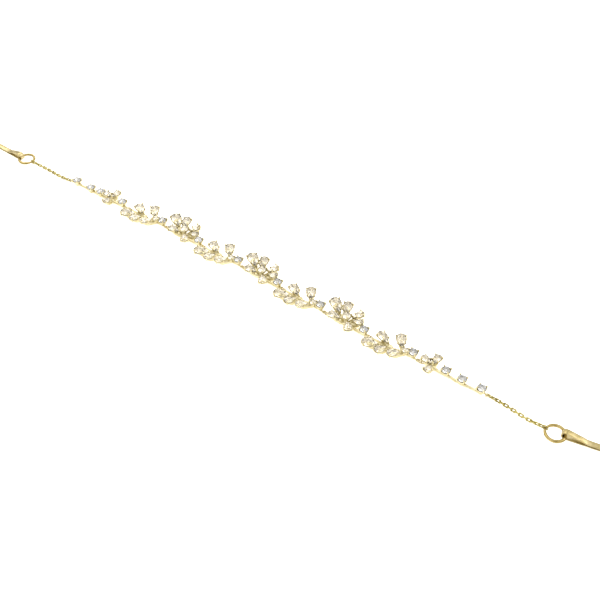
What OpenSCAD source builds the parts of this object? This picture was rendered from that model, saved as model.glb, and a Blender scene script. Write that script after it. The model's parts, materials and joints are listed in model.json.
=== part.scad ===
/* [Vine] */
// Length of one repeat: a leaf spray, a flower spray and the links after them
repeat_l = 42; // [41.5:0.1:43]
// Diameter of the cast stem
stem_d = 1.1; // [0.9:0.05:1.2]
// Height of the middle of the stem above the surface it lies on
stem_z = 1; // [1:0.05:1.1]
// Diameter of the small knots where stalks leave the stem
knot_d = 1.6; // [1.3:0.1:1.8]
// Height of those knots
knot_h = 1.3; // [1.2:0.05:1.5]
// Diameter of the stalks that carry the settings
stalk_d = 0.8; // [0.6:0.05:0.9]

/* [Stones] */
// Diameter of the round stones that stand alone along the stem
round_d = 3; // [2.9:0.05:3.1]
// Diameter of the smaller round stone in each leaf spray
bud_d = 2.5; // [2.3:0.05:2.6]
// Length of the long pear stones
leaf_long = 6; // [5.8:0.1:6.2]
// Length of the common pear stones
leaf_l = 5; // [4.8:0.1:5.2]
// Length of the short pear stones
leaf_short = 4; // [3.8:0.1:4.2]
// Width of a pear stone as a share of its length
leaf_ratio = 0.66; // [0.62:0.01:0.68]
// Clear space between a stone and the metal round it
seat_gap = 0.06; // [0.05:0.01:0.08]

/* [Links and eyes] */
// Wire diameter of the eyes cast at the ends of each spray
eye_wire = 0.45; // [0.4:0.01:0.46]
// Radius of an eye to the middle of its wire
eye_r = 0.62; // [0.6:0.01:0.65]
// Wire diameter of the links between sprays
link_wire = 0.38; // [0.36:0.01:0.38]
// Radius of such a link to the middle of its wire
link_r = 0.8; // [0.79:0.01:0.8]

/* [Tail chains] */
// Wire diameter of the cable chain
chain_wire = 0.38; // [0.34:0.01:0.38]
// Distance from one chain link to the next
chain_pitch = 1.56; // [1.54:0.01:1.7]
// Outer width of a chain link
chain_w = 1.5; // [1.48:0.01:1.54]
// Number of chain links in the left tail, an even number
left_links = 16; // [12:2:20]
// Number of chain links in the right tail, an even number
right_links = 14; // [12:2:20]

/* [End rings] */
// Outer diameter of an end ring
ring_od = 8; // [7.8:0.1:8.4]
// Wire diameter of an end ring
ring_wire = 0.8; // [0.7:0.05:0.8]
// Wire diameter of the small jump ring that joins a tail to its end ring
jump_wire = 0.42; // [0.4:0.01:0.44]
// Radius of that jump ring to the middle of its wire
jump_r = 0.95; // [0.95:0.01:0.97]

/* [Hair pins] */
// Length of a hair pin
pin_l = 50; // [45:1:60]
// Width of the flat strip that a hair pin is bent from
pin_w = 2.2; // [2:0.1:2.3]
// Thickness of that strip
pin_t = 0.5; // [0.45:0.01:0.5]
// Height of the round head of a hair pin
pin_head = 3.5; // [3.4:0.1:3.7]
// Height of the two legs together, where they lie close
pin_legs = 1.4; // [1.2:0.1:1.6]

/* [Hidden] */

gold = "#d9b863";
crystal = "#eef2f4";

// Columns of a stone's row: place of its girdle, heading of its round outer end, rise of that end,
// length, width, and which knot of the stem its stalk comes from
SX = 0;
SY = 1;
SZ = 2;
HEADING = 3;
RISE = 4;
LENGTH = 5;
WIDTH = 6;
KNOT = 7;

// A round stone stands straight up on the stem, its collet flat on the surface
round_z = 2.6;
leaf_w = leaf_l * leaf_ratio;
long_w = leaf_long * leaf_ratio;
short_w = leaf_short * leaf_ratio;

// Places along the vine where one spray is linked to the next, counted from the middle of the
// first leaf spray, and how far the vine strays there from the line of the end rings
leaf_from = -10.5;
leaf_to = 11.3;
start_x = -46.4;
end_x = 3 * repeat_l + 39.6;
joint_x = concat([start_x], [for (k = [0 : 3]) each [k * repeat_l + leaf_from, k * repeat_l + leaf_to]],
    [end_x]);
joint_y = [0.95, 1.8, 2.15, 2, 1.9, 1.4, 0.6, 0.1, 0.9, 1.4];

// How far a stem stops short of a joint, where its eye hangs on a link with a little play, and of
// the two ends of the vine, where the rim of its eye is the end
play = 0.1;
chain_play = 0.14;
stem_in = link_r - (eye_wire + link_wire) / 2 - play + 2 * eye_r;
tip_in = eye_wire / 2 + 2 * eye_r;

// The leaf spray: a fan of three leaves, then two leaves with a bud, then one round stone
leaf_stones = [
    [-8.1, -4, 3.1, 203, 8, leaf_long, long_w, 1],
    [-4.9, 1, 3.9, 157, 14, leaf_l, leaf_w, 1],
    [-3.2, -4.4, 3.1, 240, 6, leaf_l, leaf_w, 1],
    [1.6, 2.9, 4.5, 124, 20, leaf_l, leaf_w, 2],
    [1.7, -3.3, 3.1, 225, 6, leaf_l, leaf_w, 2],
    [4.8, 0, 3.5, 0, 0, bud_d, bud_d, 2],
    [7.7, 1, round_z, 0, 0, round_d, round_d, 3]];
leaf_stem = [[leaf_from + stem_in, 0], [-1.2, -0.6], [4.6, 0.1], [7.7, 0.3], [leaf_to - stem_in, 0]];

// The flower spray: six leaves round a raised stone, then one round stone
flower_stones = [
    [13.3, 4.1, 4.6, 150, 16, leaf_long, long_w, 1],
    [17.5, 5.1, 4.7, 105, 18, leaf_l, leaf_w, 1],
    [15.3, -0.3, 3, 190, 6, leaf_l, leaf_w, 1],
    [19.9, 1.4, 5, 0, 0, round_d, round_d, 2],
    [23.1, 4.8, 4.4, 58, 16, leaf_short, short_w, 2],
    [24.8, 2.1, 3.5, 15, 10, leaf_short, short_w, 2],
    [22.8, -2, 3.1, -47, 6, leaf_l, leaf_w, 2],
    [28.6, 0.5, round_z, 0, 0, round_d, round_d, 3]];
flower_stem = [[leaf_to + stem_in, 0], [18.4, -0.3], [21, -0.3], [28.6, -0.2],
    [repeat_l + leaf_from - stem_in, 0]];

// A small fan of three short leaves, shared by the two end sprays
function fan(x, knot) = [
    [x - 2.7, 0.3, 3.9, 172, 8, leaf_short, short_w, knot],
    [x + 0.2, 2.4, 3.9, 85, 10, leaf_short, short_w, knot],
    [x - 0.3, -2.8, 3.2, 262, 6, leaf_short, short_w, knot]];
function single(x, y, knot) = [x, y, round_z, 0, 0, round_d, round_d, knot];

start_stones = concat([single(-42.5, 0.1, 1), single(-33.7, -0.1, 2), single(-28, 0.2, 3)],
    fan(-20.9, 4), [single(-15.2, 0.4, 5)]);
start_stem = [[start_x + tip_in, 0], [-42.5, 0], [-33.7, 0], [-28, -0.1], [-20.9, -0.3], [-15.2, -0.2],
    [leaf_from - stem_in, 0]];

end_stones = concat(fan(142.4, 1),
    [single(147.7, 0.2, 2), single(154.4, -0.1, 3), single(162.1, 0.1, 4)]);
end_stem = [[3 * repeat_l + leaf_to + stem_in, 0], [142.4, -0.2], [147.7, -0.4], [154.4, -0.6],
    [162.1, -0.45], [end_x - tip_in, 0]];

// Stone proportions, as shares of the width or in millimetres; pear_side is the widest half width
// of a pear outline before it is scaled
girdle_t = 0.2;
table_share = 0.56;
crown_share = 0.2;
pavilion_share = 0.34;
pear_side = 0.7698;
round_sides = 8;
leaf_sides = 12;

// Settings
prong_r = 0.24;
prong_up = 0.6;
rim_down = 0.42;
cup_down = 1.75;
pocket_in = 0.06;
pocket_under = 0.15;
rail_h = 0.35;
cup_wall = 0.12;
round_prongs = [45 : 90 : 315];
pear_prongs = [48, 112, 180, 248, 312];

// Tail joints, all measured from the middle of an end ring towards the vine
ring_r = (ring_od - ring_wire) / 2;
jump_x = ring_r + jump_r - jump_wire / 2 - ring_wire / 2 - chain_play;
half_meet = (chain_wire + chain_play) / 2;
chain_from = jump_x + jump_r - jump_wire / 2 - chain_wire / 2 - chain_play + half_meet;
eye_meet = eye_r - (eye_wire + chain_wire) / 2 - chain_play + half_meet;
ring_z = jump_r + jump_wire / 2 + 0.02;
chain_z = 0.62;
function tail_l(links) = chain_from + links * chain_pitch + eye_meet;

// End ring places: the tail's length away from the eye of the last spray, on the line y = 0
left_eye = [start_x + tip_in - eye_r, joint_y[0]];
right_eye = [end_x - tip_in + eye_r, joint_y[9]];
left_ring_x = left_eye.x - sqrt(pow(tail_l(left_links), 2) - pow(left_eye.y, 2));
right_ring_x = right_eye.x + sqrt(pow(tail_l(right_links), 2) - pow(right_eye.y, 2));

// Where each hair pin sits on its ring and where it points, in degrees from the outward X axis
left_seat = -9;
left_heading = 1;
right_seat = 22;
right_heading = 12;
head_slip = 0.05;
function pin_reach(seat, heading) = (ring_r + head_slip) * cos(seat)
    + (pin_l - pin_head / 2) * cos(heading) + pin_w / 2 * abs(sin(heading));

// The whole is centred over the origin
mid_x = (right_ring_x + pin_reach(right_seat, right_heading)
    + left_ring_x - pin_reach(left_seat, left_heading)) / 2;
mid_y = 2.8;

module placed() translate([-mid_x, -mid_y, 0]) children();

// A straight round rod from one point to another
module rod(a, b, d) {
    v = b - a;
    translate(a)
        rotate([0, acos(v.z / norm(v)), atan2(v.y, v.x)])
            cylinder(h = norm(v), d = d, $fn = 8);
}

// The outline of a round or a pear stone at angle a, moved out by e. A pear is a circle whose side
// is drawn in towards its inner end; turn is the way that faces out there.
function edge(l, w, e, a) =
    let (t = turn(l, w, a))
    [l / 2 * cos(a) + e * cos(t), w / 2 * sin(a) * (l == w ? 1 : abs(cos(a / 2)) / pear_side) + e * sin(t)];
function turn(l, w, a) =
    l == w || a == 180 ? a
    : a > 180 ? -turn(l, w, 360 - a)
    : atan2(l * sin(a) * pear_side, w * (cos(a) * cos(a / 2) - sin(a) * sin(a / 2) / 2));

// A cut stone with its girdle at the origin: a flat table, a crown of triangles, a thin girdle
// and a pointed pavilion
module stone(l, w) {
    n = l == w ? round_sides : leaf_sides;
    step = 360 / n;
    up = girdle_t / 2;
    points = concat([[0, 0, -up - pavilion_share * w]],
        [for (i = [0 : n - 1]) let (p = edge(l, w, 0, i * step)) [p.x, p.y, -up]],
        [for (i = [0 : n - 1]) let (p = edge(l, w, 0, i * step)) [p.x, p.y, up]],
        [for (i = [0 : n - 1]) let (p = table_share * edge(l, w, 0, (i + 0.5) * step))
            [p.x, p.y, up + crown_share * w]]);
    next = function (i) (i + 1) % n;
    faces = concat(
        [for (i = [0 : n - 1]) [0, 1 + i, 1 + next(i)]],
        [for (i = [0 : n - 1]) each [[1 + i, 1 + n + i, 1 + n + next(i)],
            [1 + i, 1 + n + next(i), 1 + next(i)]]],
        [for (i = [0 : n - 1]) each [[1 + n + i, 1 + 2 * n + i, 1 + n + next(i)],
            [1 + n + next(i), 1 + 2 * n + i, 1 + 2 * n + next(i)]]],
        [[for (i = [n - 1 : -1 : 0]) 1 + 2 * n + i]]);
    polyhedron(points, faces);
}

// An upright plate with the outline of a stone, grown by e, from height a to height b
module stone_plate(l, w, e, a, b)
    translate([0, 0, a]) linear_extrude(height = b - a)
        polygon([for (i = [0 : leaf_sides - 1]) edge(l, w, e, i * 360 / leaf_sides)]);

// Prong places, as [x, y, heading]
function prongs(l, w) =
    [for (a = l == w ? round_prongs : pear_prongs)
        let (p = edge(l, w, seat_gap + prong_r, a)) [p.x, p.y, turn(l, w, a)]];

// A setting, its stone's girdle at the origin: a rail at its foot, a cup and its prongs
module setting(l, w, down) {
    stone_plate(l, w, cup_wall, rail_h / 2 - down, -rim_down);
    stone_plate(l, w, seat_gap + prong_r + 0.06, -down, rail_h - down);
    for (p = prongs(l, w))
        translate([p.x, p.y, rail_h / 3 - down]) rotate([0, 0, p.z])
            cylinder(h = down + prong_up - rail_h / 3, r = prong_r, $fn = 6);
}

// The hollow of a cup, where the stone's pavilion lies clear of the metal
module pocket(l, w)
    stone_plate(l, w, -pocket_in * w, -girdle_t / 2 - pavilion_share * w - pocket_under, 0);

module on_stone(row)
    translate([row[SX], row[SY], row[SZ]]) rotate([0, -row[RISE], row[HEADING]]) children();

// A point of a stone's own frame, moved to the spray's frame
function from_stone(row, p) =
    let (a = row[RISE], h = row[HEADING], x = p.x * cos(a) - p.z * sin(a), z = p.x * sin(a) + p.z * cos(a))
    [row[SX] + x * cos(h), row[SY] + x * sin(h), row[SZ] + z];

// Whether a stalk leaves the stem at a knot: a round stone that stands on the stem has none
function stands(row) = row[SZ] == round_z;
function has_stalk(stones, i) = len([for (row = stones) if (row[KNOT] == i && !stands(row)) row]) > 0;

// The cast metal of a spray: its stem, an eye at each end, the knots, stalks and settings
module spray_metal(stones, stem) {
    last = len(stem) - 1;
    at = function (i) [stem[i].x, stem[i].y, stem_z];
    for (i = [0, last])
        translate(at(i) + [i == 0 ? -eye_r : eye_r, 0, 0])
            rotate_extrude($fn = 32) translate([eye_r, 0]) circle(d = eye_wire, $fn = 16);
    difference() {
        union() {
            for (i = [1 : last]) rod(at(i - 1), at(i), stem_d);
            for (i = [1 : last - 1]) if (has_stalk(stones, i))
                translate(at(i)) cylinder(h = knot_h, d = knot_d, center = true, $fn = 12);
            for (row = stones) {
                foot = from_stone(row, [-row[LENGTH] / 5, 0, 0.15 - cup_down]);
                on_stone(row) setting(row[LENGTH], row[WIDTH], stands(row) ? round_z : cup_down);
                if (!stands(row)) rod(at(row[KNOT]), foot, stalk_d);
            }
        }
        for (row = stones) on_stone(row) pocket(row[LENGTH], row[WIDTH]);
    }
}

module spray_stones(stones) for (row = stones) on_stone(row) stone(row[LENGTH], row[WIDTH]);

// Puts spray number i, drawn along the X axis, on the line between its two joints
module on_vine(i) {
    a = [joint_x[i], joint_y[i]];
    b = [joint_x[i + 1], joint_y[i + 1]];
    turn = atan2(b.y - a.y, b.x - a.x);
    translate([a.x, a.y, 0]) rotate([0, 0, turn]) translate([-joint_x[i], 0, 0]) children();
}

module spray(i, stones, stem) placed() on_vine(i) color(gold) spray_metal(stones, stem);
module stones_of(i, stones) placed() on_vine(i) color(crystal) spray_stones(stones);

// Moves a table of stones or a stem along to repeat number k
function along(rows, k) = [for (r = rows) [for (j = [0 : len(r) - 1]) r[j] + (j == 0 ? k * repeat_l : 0)]];

module leaf_spray(k) spray(1 + 2 * k, along(leaf_stones, k), along(leaf_stem, k));
module leaf_spray_stones(k) stones_of(1 + 2 * k, along(leaf_stones, k));
module flower_spray(k) spray(2 + 2 * k, along(flower_stones, k), along(flower_stem, k));
module flower_spray_stones(k) stones_of(2 + 2 * k, along(flower_stones, k));
module start_spray() spray(0, start_stones, start_stem);
module start_spray_stones() stones_of(0, start_stones);
module end_spray() spray(8, end_stones, end_stem);
module end_spray_stones() stones_of(8, end_stones);

// A link that stands upright through the eyes of two sprays
module link(i) {
    turn = atan2(joint_y[i + 1] - joint_y[i - 1], joint_x[i + 1] - joint_x[i - 1]);
    placed() color(gold)
        translate([joint_x[i], joint_y[i], stem_z]) rotate([90, 0, turn])
            rotate_extrude($fn = 32) translate([link_r, 0]) circle(d = link_wire, $fn = 16);
}

// One oval chain link along the X axis, with a wire of six sides
module chain_link() {
    n = 12;
    m = 6;
    bend_r = (chain_w - chain_wire) / 2;
    straight = chain_pitch / 2 + half_meet - bend_r;
    points = [for (i = [0 : n - 1], j = [0 : m - 1])
        let (a = i * 360 / n, b = j * 360 / m, reach = bend_r + chain_wire / 2 * cos(b),
            shift = abs(cos(a)) < 0.01 ? 0 : sign(cos(a)) * straight)
        [shift + reach * cos(a), reach * sin(a), chain_wire / 2 * sin(b)]];
    at = function (i, j) (i % n) * m + j % m;
    faces = [for (i = [0 : n - 1], j = [0 : m - 1])
        each [[at(i, j), at(i, j + 1), at(i + 1, j + 1)], [at(i, j), at(i + 1, j + 1), at(i + 1, j)]]];
    polyhedron(points, faces);
}

// A tail, drawn from the middle of its end ring along the X axis: a jump ring that stands on the
// surface, then links that turn a quarter each, with an eighth more at either end
module tail(links) {
    ends = 4;
    near = function (i) min(i, links - 1 - i, ends) / ends;
    joint = function (i)
        let (rise = i < links / 2 ? ring_z : stem_z, t = min(i, links - i, ends) / ends)
        [chain_from + i * chain_pitch, 0.3 * sin(360 * i / links), rise + (chain_z - rise) * t];
    translate([jump_x, 0, ring_z]) rotate([90, 0, 0])
        rotate_extrude($fn = 32) translate([jump_r, 0]) circle(d = jump_wire, $fn = 16);
    for (i = [0 : links - 1]) {
        a = joint(i);
        v = joint(i + 1) - a;
        translate(a + v / 2)
            rotate([0, -asin(v.z / norm(v)), atan2(v.y, v.x)])
                rotate([90 * i + 45 * near(i), 0, 0]) chain_link();
    }
}

module tail_chain_left()
    placed() color(gold) translate([left_ring_x, 0, 0])
        rotate([0, 0, atan2(left_eye.y, left_eye.x - left_ring_x)]) tail(left_links);
module tail_chain_right()
    placed() color(gold) translate([right_ring_x, 0, 0])
        rotate([0, 0, atan2(right_eye.y, right_eye.x - right_ring_x)]) tail(right_links);

module end_ring(x)
    placed() color(gold) translate([x, 0, ring_z])
        rotate_extrude($fn = 64) translate([ring_r, 0]) circle(d = ring_wire, $fn = 24);

// A hair pin on its side outline, from the middle of its round head along the X axis: a straight
// lower leg, the head, and an upper leg that comes down to the lower one and lifts at its tip
module hair_pin() {
    r = (pin_head - pin_t) / 2;
    slope = 15;
    lift = 12;
    steps = 18;
    tip_x = pin_l - pin_head / 2;
    over = [r * sin(slope), r * cos(slope)];
    close_z = pin_legs - pin_t - r;
    close_x = over.x + (over.y - close_z) / tan(slope);
    path = concat([[tip_x, -r]],
        [for (i = [0 : steps]) let (a = 270 - i * (180 + slope) / steps) [r * cos(a), r * sin(a)]],
        [[close_x, close_z], [tip_x - 4, close_z], [tip_x, close_z + 4 * tan(lift)]]);
    last = len(path) - 1;
    way = function (i) let (v = path[min(i + 1, last)] - path[max(i - 1, 0)]) v / norm(v);
    edge = function (i, s) path[i] + s * pin_t / 2 * [-way(i).y, way(i).x];
    translate([0, 0, pin_head / 2]) rotate([90, 0, 0])
        linear_extrude(height = pin_w, center = true)
            polygon(concat([for (i = [0 : last]) edge(i, 1)], [for (i = [last : -1 : 0]) edge(i, -1)]));
}

// A hair pin with its head round the wire of an end ring; side is 1 at the right, -1 at the left
module pin_on_ring(x, side, seat, heading)
    placed() color(gold)
        translate([x, 0, 0] + (ring_r + head_slip) * [side * cos(seat), sin(seat), 0])
            rotate([0, 0, side > 0 ? heading : 180 - heading]) hair_pin();

module hair_pin_left() pin_on_ring(left_ring_x, -1, left_seat, left_heading);
module hair_pin_right() pin_on_ring(right_ring_x, 1, right_seat, right_heading);

hair_pin_left();
end_ring(left_ring_x);  // end_ring_left
tail_chain_left();
start_spray();
start_spray_stones();
leaf_spray(0);  // leaf_spray_1
leaf_spray_stones(0);  // leaf_spray_1_stones
flower_spray(0);  // flower_spray_1
flower_spray_stones(0);  // flower_spray_1_stones
leaf_spray(1);  // leaf_spray_2
leaf_spray_stones(1);  // leaf_spray_2_stones
flower_spray(1);  // flower_spray_2
flower_spray_stones(1);  // flower_spray_2_stones
leaf_spray(2);  // leaf_spray_3
leaf_spray_stones(2);  // leaf_spray_3_stones
flower_spray(2);  // flower_spray_3
flower_spray_stones(2);  // flower_spray_3_stones
leaf_spray(3);  // leaf_spray_4
leaf_spray_stones(3);  // leaf_spray_4_stones
end_spray();
end_spray_stones();
tail_chain_right();
end_ring(right_ring_x);  // end_ring_right
hair_pin_right();
link(1);  // link_1
link(2);  // link_2
link(3);  // link_3
link(4);  // link_4
link(5);  // link_5
link(6);  // link_6
link(7);  // link_7
link(8);  // link_8
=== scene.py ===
# %% [markdown]
# # A crystal hair vine on a light table
# The vine is a row of nine small castings, set with cut crystals and linked end to end, with a fine
# chain, a ring and a flat hair pin at each end. Drawn by eye and moved, its pieces would drift from
# the frame's plain solids, so they are drawn in the frame's millimetres from the same few tables.

import json
from collections import namedtuple
from math import asin, atan2, cos, degrees, pi, radians, sin, sqrt, tan, tau

import bmesh
import bpy
from mathutils import Euler, Matrix, Vector

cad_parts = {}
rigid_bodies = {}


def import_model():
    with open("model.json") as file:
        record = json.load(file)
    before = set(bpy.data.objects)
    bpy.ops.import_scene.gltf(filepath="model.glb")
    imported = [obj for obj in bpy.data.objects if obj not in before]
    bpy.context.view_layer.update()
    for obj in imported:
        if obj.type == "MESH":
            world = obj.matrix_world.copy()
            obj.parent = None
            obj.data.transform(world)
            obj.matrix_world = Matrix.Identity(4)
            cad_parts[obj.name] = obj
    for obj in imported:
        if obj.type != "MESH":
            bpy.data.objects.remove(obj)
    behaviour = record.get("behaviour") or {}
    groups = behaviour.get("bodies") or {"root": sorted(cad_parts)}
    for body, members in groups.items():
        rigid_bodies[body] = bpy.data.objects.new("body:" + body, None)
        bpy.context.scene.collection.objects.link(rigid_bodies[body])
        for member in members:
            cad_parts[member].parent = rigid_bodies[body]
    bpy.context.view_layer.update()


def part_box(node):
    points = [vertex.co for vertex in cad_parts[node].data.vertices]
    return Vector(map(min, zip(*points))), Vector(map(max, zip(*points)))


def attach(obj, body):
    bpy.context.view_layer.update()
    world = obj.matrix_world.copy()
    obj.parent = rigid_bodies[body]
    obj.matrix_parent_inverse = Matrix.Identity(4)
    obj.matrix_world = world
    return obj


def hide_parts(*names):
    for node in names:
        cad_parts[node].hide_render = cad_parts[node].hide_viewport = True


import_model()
scene = bpy.context.scene
MM = 0.001

# All sizes are in millimetres. The vine's own x is counted from the middle of its first leaf spray.
REPEAT = 42.0  # a leaf spray, a flower spray and the links after them
STEM_Z = 1.0  # middle of the stem over the table
ROUND_Z = 2.6  # girdle of a stone that stands alone on the stem
LEAF_FROM, LEAF_TO = -10.5, 11.3  # the links before and after the first leaf spray
START_X, END_X = -46.4, 3 * REPEAT + 39.6  # where the chains take over
JOINT_X = [START_X] + [x + k * REPEAT for k in range(4) for x in (LEAF_FROM, LEAF_TO)] + [END_X]
JOINT_Y = [0.95, 1.8, 2.15, 2, 1.9, 1.4, 0.6, 0.1, 0.9, 1.4]  # how the vine strays sideways
JOINTS = [Vector((x, y, 0)) for x, y in zip(JOINT_X, JOINT_Y)]

EYE_WIRE, EYE_R = 0.45, 0.62
LINK_WIRE, LINK_R = 0.38, 0.8
PLAY = 0.1  # air between a link and an eye
STEM_IN = LINK_R - (EYE_WIRE + LINK_WIRE) / 2 - PLAY + 2 * EYE_R  # from a link's middle to the stem
TIP_IN = EYE_WIRE / 2 + 2 * EYE_R  # from the outermost edge of a casting to the stem
print("vine of", len(JOINTS) - 1, "castings,", round(END_X - START_X, 1), "mm of them")

# %% [markdown]
# ## One row for each stone
# The real vine repeats a leaf spray and a flower spray. A row says where a stone's girdle is, which
# way its outer tip points and rises, its size, and from which knot of the stem its stalk comes. Stones
# could be placed by hand, but a table is easier to check and serves every repeat.

# %% Tables of stones and stems
Stone = namedtuple("Stone", "x y z heading rise size knot")

# Length and width of each size of stone: two round ones and three pears
ROUND, BUD, LONG, PEAR, SHORT = (3, 3), (2.5, 2.5), (6, 3.96), (5, 3.3), (4, 2.64)

LEAF_STONES = [
    Stone(-8.1, -4, 3.1, 203, 8, LONG, 1),
    Stone(-4.9, 1, 3.9, 157, 14, PEAR, 1),
    Stone(-3.2, -4.4, 3.1, 240, 6, PEAR, 1),
    Stone(1.6, 2.9, 4.5, 124, 20, PEAR, 2),
    Stone(1.7, -3.3, 3.1, 225, 6, PEAR, 2),
    Stone(4.8, 0, 3.5, 0, 0, BUD, 2),
    Stone(7.7, 1, ROUND_Z, 0, 0, ROUND, 3),
]
LEAF_STEM = [(LEAF_FROM + STEM_IN, 0), (-1.2, -0.6), (4.6, 0.1), (7.7, 0.3), (LEAF_TO - STEM_IN, 0)]

FLOWER_STONES = [
    Stone(13.3, 4.1, 4.6, 150, 16, LONG, 1),
    Stone(17.5, 5.1, 4.7, 105, 18, PEAR, 1),
    Stone(15.3, -0.3, 3, 190, 6, PEAR, 1),
    Stone(19.9, 1.4, 5, 0, 0, ROUND, 2),
    Stone(23.1, 4.8, 4.4, 58, 16, SHORT, 2),
    Stone(24.8, 2.1, 3.5, 15, 10, SHORT, 2),
    Stone(22.8, -2, 3.1, -47, 6, PEAR, 2),
    Stone(28.6, 0.5, ROUND_Z, 0, 0, ROUND, 3),
]
FLOWER_STEM = [
    (LEAF_TO + STEM_IN, 0), (18.4, -0.3), (21, -0.3), (28.6, -0.2), (REPEAT + LEAF_FROM - STEM_IN, 0),
]

# %% [markdown]
# ## The two end stretches
# Towards its ends the vine thins out: single stones on the bare stem, and one small fan of pears.
# Their rows could be copied, but two short functions serve both ends.

# %% Tables of the end sprays, and the whole row of castings
def fan(x, knot):
    """Three short pear stones on one knot."""
    return [
        Stone(x - 2.7, 0.3, 3.9, 172, 8, SHORT, knot),
        Stone(x + 0.2, 2.4, 3.9, 85, 10, SHORT, knot),
        Stone(x - 0.3, -2.8, 3.2, 262, 6, SHORT, knot),
    ]


def single(x, y, knot):
    """A round stone that stands on the stem."""
    return Stone(x, y, ROUND_Z, 0, 0, ROUND, knot)


def along(stones, stem, k):
    """The stones and stem of a spray, moved to repeat number k."""
    step = k * REPEAT
    return [row._replace(x=row.x + step) for row in stones], [(x + step, y) for x, y in stem]


START_STONES = [single(-42.5, 0.1, 1), single(-33.7, -0.1, 2), single(-28, 0.2, 3)]
START_STONES += fan(-20.9, 4) + [single(-15.2, 0.4, 5)]
START_STEM = [
    (START_X + TIP_IN, 0), (-42.5, 0), (-33.7, 0), (-28, -0.1), (-20.9, -0.3), (-15.2, -0.2),
    (LEAF_FROM - STEM_IN, 0),
]
END_STONES = fan(142.4, 1) + [single(147.7, 0.2, 2), single(154.4, -0.1, 3), single(162.1, 0.1, 4)]
END_STEM = [
    (3 * REPEAT + LEAF_TO + STEM_IN, 0), (142.4, -0.2), (147.7, -0.4), (154.4, -0.6), (162.1, -0.45),
    (END_X - TIP_IN, 0),
]

SPRAYS = [("start_spray", START_STONES, START_STEM)]
for k in range(4):
    SPRAYS.append((f"leaf_spray_{k + 1}", *along(LEAF_STONES, LEAF_STEM, k)))
    if k < 3:
        SPRAYS.append((f"flower_spray_{k + 1}", *along(FLOWER_STONES, FLOWER_STEM, k)))
SPRAYS.append(("end_spray", END_STONES, END_STEM))
print(len(SPRAYS), "sprays,", sum(len(stones) for _, stones, _ in SPRAYS), "stones")

# %% [markdown]
# ## From the vine's line to the frame
# The frame's origin is the middle of the whole object, so the vine's own millimetres are shifted by
# the place of the left end ring. The shift could be typed in, but worked out from the length of the
# chains it also shows that both rings fit.

# %% Places along the vine
RING_OD, RING_WIRE, JUMP_WIRE, JUMP_R = 8.0, 0.8, 0.42, 0.95
CHAIN_WIRE, CHAIN_PITCH, CHAIN_W = 0.38, 1.56, 1.5
CHAIN_PLAY = 0.14  # air where two links of the chain meet
CHAIN_Z = 0.7  # middle of the chain over the table
RING_R = (RING_OD - RING_WIRE) / 2
JUMP_X = RING_R + JUMP_R - JUMP_WIRE / 2 - RING_WIRE / 2 - CHAIN_PLAY
HALF_MEET = (CHAIN_WIRE + CHAIN_PLAY) / 2
CHAIN_FROM = JUMP_X + JUMP_R - JUMP_WIRE / 2 - CHAIN_WIRE / 2 - CHAIN_PLAY + HALF_MEET
EYE_MEET = EYE_R - (EYE_WIRE + CHAIN_WIRE) / 2 - CHAIN_PLAY + HALF_MEET
RING_Z = JUMP_R + JUMP_WIRE / 2 + 0.02  # the jump ring stands upright, just clear of the table
LEFT_LINKS, RIGHT_LINKS = 16, 14


def middle(node):
    """The middle of a node's box, in millimetres."""
    low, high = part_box(node)
    return (low + high) / 2 / MM


def tail_length(links):
    """From the middle of an end ring to that of the eye beyond its chain."""
    return CHAIN_FROM + links * CHAIN_PITCH + EYE_MEET


left_eye = Vector((START_X + TIP_IN - EYE_R, JOINT_Y[0]))
right_eye = Vector((END_X - TIP_IN + EYE_R, JOINT_Y[-1]))
left_ring_x = left_eye.x - sqrt(tail_length(LEFT_LINKS) ** 2 - left_eye.y**2)
right_ring_x = right_eye.x + sqrt(tail_length(RIGHT_LINKS) ** 2 - right_eye.y**2)
shift = Matrix.Translation((middle("end_ring_left").x - left_ring_x, middle("end_ring_left").y, 0))
miss = shift @ Vector((right_ring_x, 0, 0)) - middle("end_ring_right")
print("right ring off by", round(miss.xy.length, 4), "mm")

# %% [markdown]
# ## The place of a spray and of a stone
# One matrix lays a spray between its joints, another turns a stone about its girdle. Parenting would
# place them too, but a finished piece needs its place in its mesh. A stone over the low ones keeps
# about half of its extra height, as the photographed clusters look dense.

# %% Matrices
LOW_Z = 3.1  # girdle of the low stones
RISING = 0.55  # share of the height over LOW_Z that a stone keeps


def moved(x, y, z=0):
    return Matrix.Translation((x, y, z))


def turned(axis, angle):
    return Matrix.Rotation(radians(angle), 4, axis)


def heading(way):
    """The direction of a vector seen from above, in degrees."""
    return degrees(atan2(way.y, way.x))


def on_vine(i):
    """The matrix of spray number i."""
    start, end = JOINTS[i], JOINTS[i + 1]
    turn = turned("Z", heading(end - start))
    return shift @ moved(*start) @ turn @ moved(-start.x, 0)


def on_stone(row):
    """The matrix of a stone, whose long axis is X and whose table faces Z."""
    z = min(row.z, LOW_Z + RISING * (row.z - LOW_Z))
    return moved(row.x, row.y, z) @ turned("Z", row.heading) @ turned("Y", -row.rise)


print("first spray turned by", round(heading(JOINTS[1] - JOINTS[0]), 2), "degrees")

# %% [markdown]
# ## Mesh helpers
# Everything here is small wire and cut glass: rings of points with quads between them, drawn in
# millimetres and made metres at the end. Blender's primitives would do for a ring, but not for a
# pear-shaped cup.

# %% Meshes from rings of points
def new_object(name, data):
    thing = bpy.data.objects.new(name, data)
    scene.collection.objects.link(thing)
    return thing


def finish_mesh(work, name, smooth):
    """Makes a mesh in metres, its faces pointing outwards."""
    bmesh.ops.recalc_face_normals(work, faces=work.faces)
    bmesh.ops.scale(work, vec=(MM, MM, MM), verts=work.verts)
    for face in work.faces:
        face.smooth = smooth
    mesh = bpy.data.meshes.new(name)
    work.to_mesh(mesh)
    work.free()
    return mesh


def angles(count):
    """Angles evenly round a circle."""
    return [tau * j / count for j in range(count)]


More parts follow.
